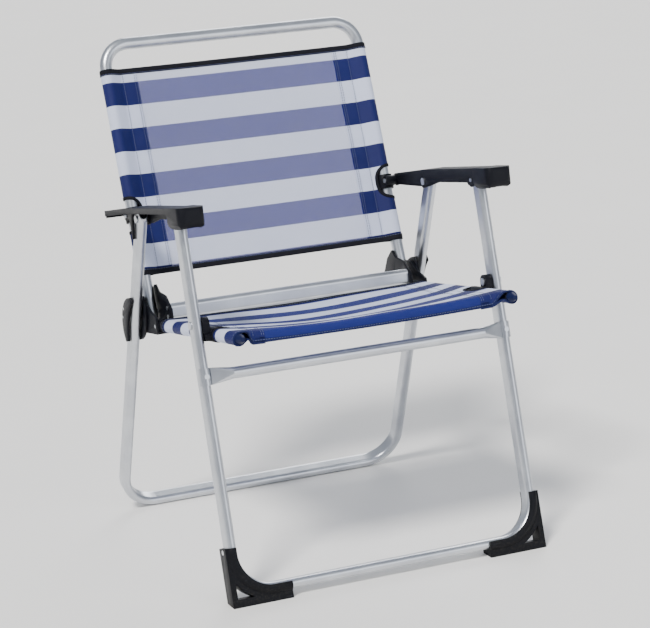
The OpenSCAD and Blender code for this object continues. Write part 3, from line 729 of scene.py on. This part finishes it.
def tape_loop(wide, thick):
    """A flat loop in (inward, lift): a stadium from just outside the edge to wide mm in."""
    half = thick / 2
    turn = np.linspace(-math.pi / 2, -3 * math.pi / 2, 9)
    nose = np.stack([np.cos(turn) * half, np.sin(turn) * half], axis=-1)
    tail = np.array([[wide - 0.4, half], [wide, half * 0.6], [wide, -half * 0.6], [wide - 0.4, -half]])
    return np.concatenate([nose, tail])


def sweep_tape(name, spread, edge, inward, wide, thick, body, closed, finish=dark_tape):
    """Carries the tape's loop along edge, an array of (u, v), where inward is the unit direction into the
    cloth at each point: each ring is edge + s inward, lifted by the loop's second number."""
    loop = tape_loop(wide, thick)
    flat = edge[:, None, :] + loop[None, :, 0, None] * inward[:, None, :]
    points = lay(spread, flat[..., 0], flat[..., 1], loop[None, :, 1])
    rows = len(edge)
    faces = grid_faces(rows + closed, len(loop), wrap=True) % (rows * len(loop))
    faces = [face[::-1] for face in faces.tolist()]
    if not closed:
        last = (rows - 1) * len(loop)
        faces += [list(range(len(loop))), [last + n for n in range(len(loop))][::-1]]
    piece = link_piece(name, points, faces, finish, body)
    face_outward(piece)
    run = np.append(0, np.cumsum(np.linalg.norm(np.diff(edge, axis=0), axis=-1)))
    map_flat(piece, np.stack([np.repeat(run, len(loop)), np.tile(loop[:, 0], rows)], axis=-1) * MM)
    return piece


def edge_tape(name, spread, path, at_v, into, wide, body, finish=dark_tape):
    """Tape along a whole edge at v = at_v, wide mm into the cloth in the direction into (+1 or -1 in v)."""
    u = np.linspace(-path.reach, path.reach, 420)
    edge = np.stack([u, np.full_like(u, at_v)], axis=-1)
    return sweep_tape(name, spread, edge, np.tile([0.0, into], (len(u), 1)), wide, TAPE_THICK,
                      body, False, finish)


def notch_tape(name, spread, notch, body):
    """Tape round a notch. Inward, into the cloth, is away from the hole along the outline's normal."""
    edge = notch.outline(140)
    along = np.roll(edge, -1, axis=0) - np.roll(edge, 1, axis=0)
    outward = np.stack([along[:, 1], -along[:, 0]], axis=-1)
    outward /= np.linalg.norm(outward, axis=-1, keepdims=True)
    return sweep_tape(name, spread, edge, outward, NOTCH_TAPE, NOTCH_TAPE_THICK, body, True)


def bind(body, spread, path, long, notches, ends, first_wide, first_finish):
    """All the tapes of one cloth: its two edges, named by ends, and then its notches. The first edge's tape
    has a width and a finish of its own."""
    first, last = ends
    return [edge_tape(f"{body}_{first}_binding", spread, path, 0.0, 1.0, first_wide, body, first_finish),
            edge_tape(f"{body}_{last}_binding", spread, path, long, -1.0, TAPE, body),
            *(notch_tape(f"{side}_{body}_notch_binding", spread, notch, body)
              for side, notch in zip(("left", "right"), notches))]


tapes = {
    "seat": bind("seat", seat_spread, seat_path, SEAT_LONG, seat_notches, ("front", "rear"), NARROW_TAPE,
                 navy_tape),
    "back": bind("back", back_spread, back_path, BACK_LONG, back_notches, ("top", "bottom"), TAPE, dark_tape),
}
print("bindings:", sum(len(group) for group in tapes.values()))

# %% [markdown]
# ## Thread
#
# Two rows of thread close each sleeve, a third keeps it snug on its tube, and one row holds each of the two
# end bindings.
# A stitch is a short bead that dips into the cloth at both ends. All the stitches of a cloth are one mesh:
# a small template of points, repeated for each stitch by array arithmetic.

# %% Stitches
thread, thread_surface, thread_place, _ = new_finish("sewing_thread")
twist = thread_place.noise(1500, 2)
feed(thread_surface,
     Base_Color=twist.blend(shade(52, 60, 100), shade(96, 104, 140)),
     Roughness=0.55 + twist * 0.2,
     Normal=relief(twist, 0.0001, 0.6))
STITCH, STITCH_GAP, STITCH_R = 3.4, 0.9, 0.42
STITCH_DIP, PROUD = 0.45, 0.1
ROW_END, TAPE_HEM = 10.0, 1.6


def stitch_template():
    """A bead in (along, across, lift): rings whose radius follows a half circle's root at the ends."""
    along = np.array([-0.5, -0.42, -0.2, 0.2, 0.42, 0.5])
    size = np.array([0.15, 0.75, 1.0, 1.0, 0.75, 0.15])
    turn = np.linspace(0, 2 * math.pi, 6, endpoint=False)
    ring = np.stack([np.zeros(6), np.cos(turn), np.sin(turn)], axis=-1)
    points = ring[None] * size[:, None, None] * STITCH_R
    points[..., 0] += along[:, None] * STITCH
    points[..., 2] -= (np.abs(along) == 0.5)[:, None] * STITCH_DIP
    return points


def stitch_rows(name, spread, rows, body):
    """rows is a list of (centres, heading, lift): every stitch's (u, v), its unit direction in the cloth,
    and the lift in mm of the face that the row lies on."""
    template = stitch_template()
    rings, around = template.shape[:2]
    count = 0
    clouds, faces = [], []
    tube = grid_faces(rings, around, wrap=True)[:, ::-1].tolist()
    caps = [list(range(around)), [(rings - 1) * around + n for n in range(around)][::-1]]
    for centres, heading, lift in rows:
        side = np.stack([-heading[:, 1], heading[:, 0]], axis=-1)
        flat = (centres[:, None, None] + template[..., 0, None] * heading[:, None, None]
                + template[..., 1, None] * side[:, None, None])
        height = lift + np.sign(lift) * template[..., 2]
        clouds.append(lay(spread, flat[..., 0], flat[..., 1], height).reshape(-1, 3))
        for number in range(len(centres)):
            start = count + number * rings * around
            faces += [[start + corner for corner in face] for face in tube + caps]
        count += len(centres) * rings * around
    piece = link_piece(name, np.concatenate(clouds), faces, thread, body)
    face_outward(piece)
    print(name, "stitches:", sum(len(centres) for centres, _, _ in rows))
    return piece


def straight_row(start, end, notches):
    """Stitches spaced along a straight line of the flat cloth, leaving out those inside a notch."""
    start, end = np.array(start, float), np.array(end, float)
    span = np.linalg.norm(end - start)
    count = int(span / (STITCH + STITCH_GAP))
    places = start + (end - start) * ((np.arange(count) + 0.5) / count)[:, None]
    for notch in notches:
        places = places[notch.measure(places) > 1.1]
    return places, np.tile((end - start) / span, (len(places), 1))


def cloth_rows(path, long, first_wide, notches):
    """Three rows up each sleeve and one row along each binding, all of them on both faces."""
    rows = []
    top = CLOTH / 2 + PROUD
    for side in (-1, 1):
        for place in (path.seam_u + 1.5, path.seam_u + 5.0, path.pinch_u - 2.5):
            u = side * place
            row = straight_row((u, ROW_END), (u, long - ROW_END), notches)
            rows += [(*row, top), (*row, -(top + LAYER_GAP + CLOTH / 2))]
    past_tube = path.outer_u + 12
    for v in (first_wide - TAPE_HEM, long - TAPE + TAPE_HEM):
        row = straight_row((-past_tube, v), (past_tube, v), notches)
        rows += [(*row, TAPE_THICK / 2 + 0.05), (*row, -TAPE_THICK / 2 - 0.05)]
    return rows


seat_rows = cloth_rows(seat_path, SEAT_LONG, NARROW_TAPE, seat_notches)
back_rows = cloth_rows(back_path, BACK_LONG, TAPE, back_notches)
seat_thread = stitch_rows("seat_stitching", seat_spread, seat_rows, "seat")
back_thread = stitch_rows("back_stitching", back_spread, back_rows, "back")

# %% [markdown]

# %% [markdown]
# ## Finishes on the solids
#
# The remaining solids keep their exact shape and only change material, slot by slot.

# %% Assign the finishes
for node, finish in FINISHES.items():
    for slot in frame["nodes"][node].material_slots:
        slot.material = finish
bare = [node for node, solid in frame["nodes"].items() if node not in FINISHES and not solid.hide_render]
print("nodes left without a finish:", bare)

# %% [markdown]
# ## Floor and light
#
# A plain pale floor and large soft lamps show the shape without competing with it. The key comes from the
# left and above, a broad fill stands in front, and a back light shines through the open weave. A pale
# world keeps the metal bright, because bare metal shows only what is around it.

# %% Floor
REACH = 15.0
floor_mesh = bpy.data.meshes.new("floor")
floor_mesh.from_pydata([(-REACH, -REACH, 0), (REACH, -REACH, 0), (REACH, REACH, 0), (-REACH, REACH, 0)], [],
                       [(0, 1, 2, 3)])
floor = bpy.data.objects.new("floor", floor_mesh)
bpy.context.scene.collection.objects.link(floor)
floor_finish, floor_surface, floor_place, _ = new_finish("pale_floor")
feed(floor_surface,
     Base_Color=floor_place.noise(3, 3).blend(shade(240, 238, 234), shade(244, 242, 239)),
     Roughness=0.85)
floor_mesh.materials.append(floor_finish)


# %% Lamps
CHAIR_MIDDLE = Vector((0, 0, 0.42))


def aim_lamp(name, kind, spot, **settings):
    """A lamp at spot that faces the middle of the chair."""
    data = bpy.data.lights.new(name, kind)
    for setting, value in settings.items():
        setattr(data, setting, value)
    lamp = bpy.data.objects.new(name, data)
    lamp.location = spot
    lamp.rotation_euler = (CHAIR_MIDDLE - Vector(spot)).to_track_quat("-Z", "Y").to_euler()
    bpy.context.scene.collection.objects.link(lamp)


aim_lamp("key", "SUN", (-2.2, -1.7, 4.0), energy=3.9, angle=math.radians(14), color=(1.0, 0.985, 0.96))
aim_lamp("rim", "SUN", (2.0, 3.0, 2.6), energy=1.2, angle=math.radians(30))
aim_lamp("fill", "AREA", (1.6, -3.6, 1.6), energy=34, size=2.2, color=(0.95, 0.97, 1.0))
world = bpy.data.worlds.new("pale_room")
world.use_nodes = True
feed(world.node_tree.nodes["Background"], Color=(0.84, 0.9, 1.0, 1), Strength=0.55)
bpy.context.scene.world = world
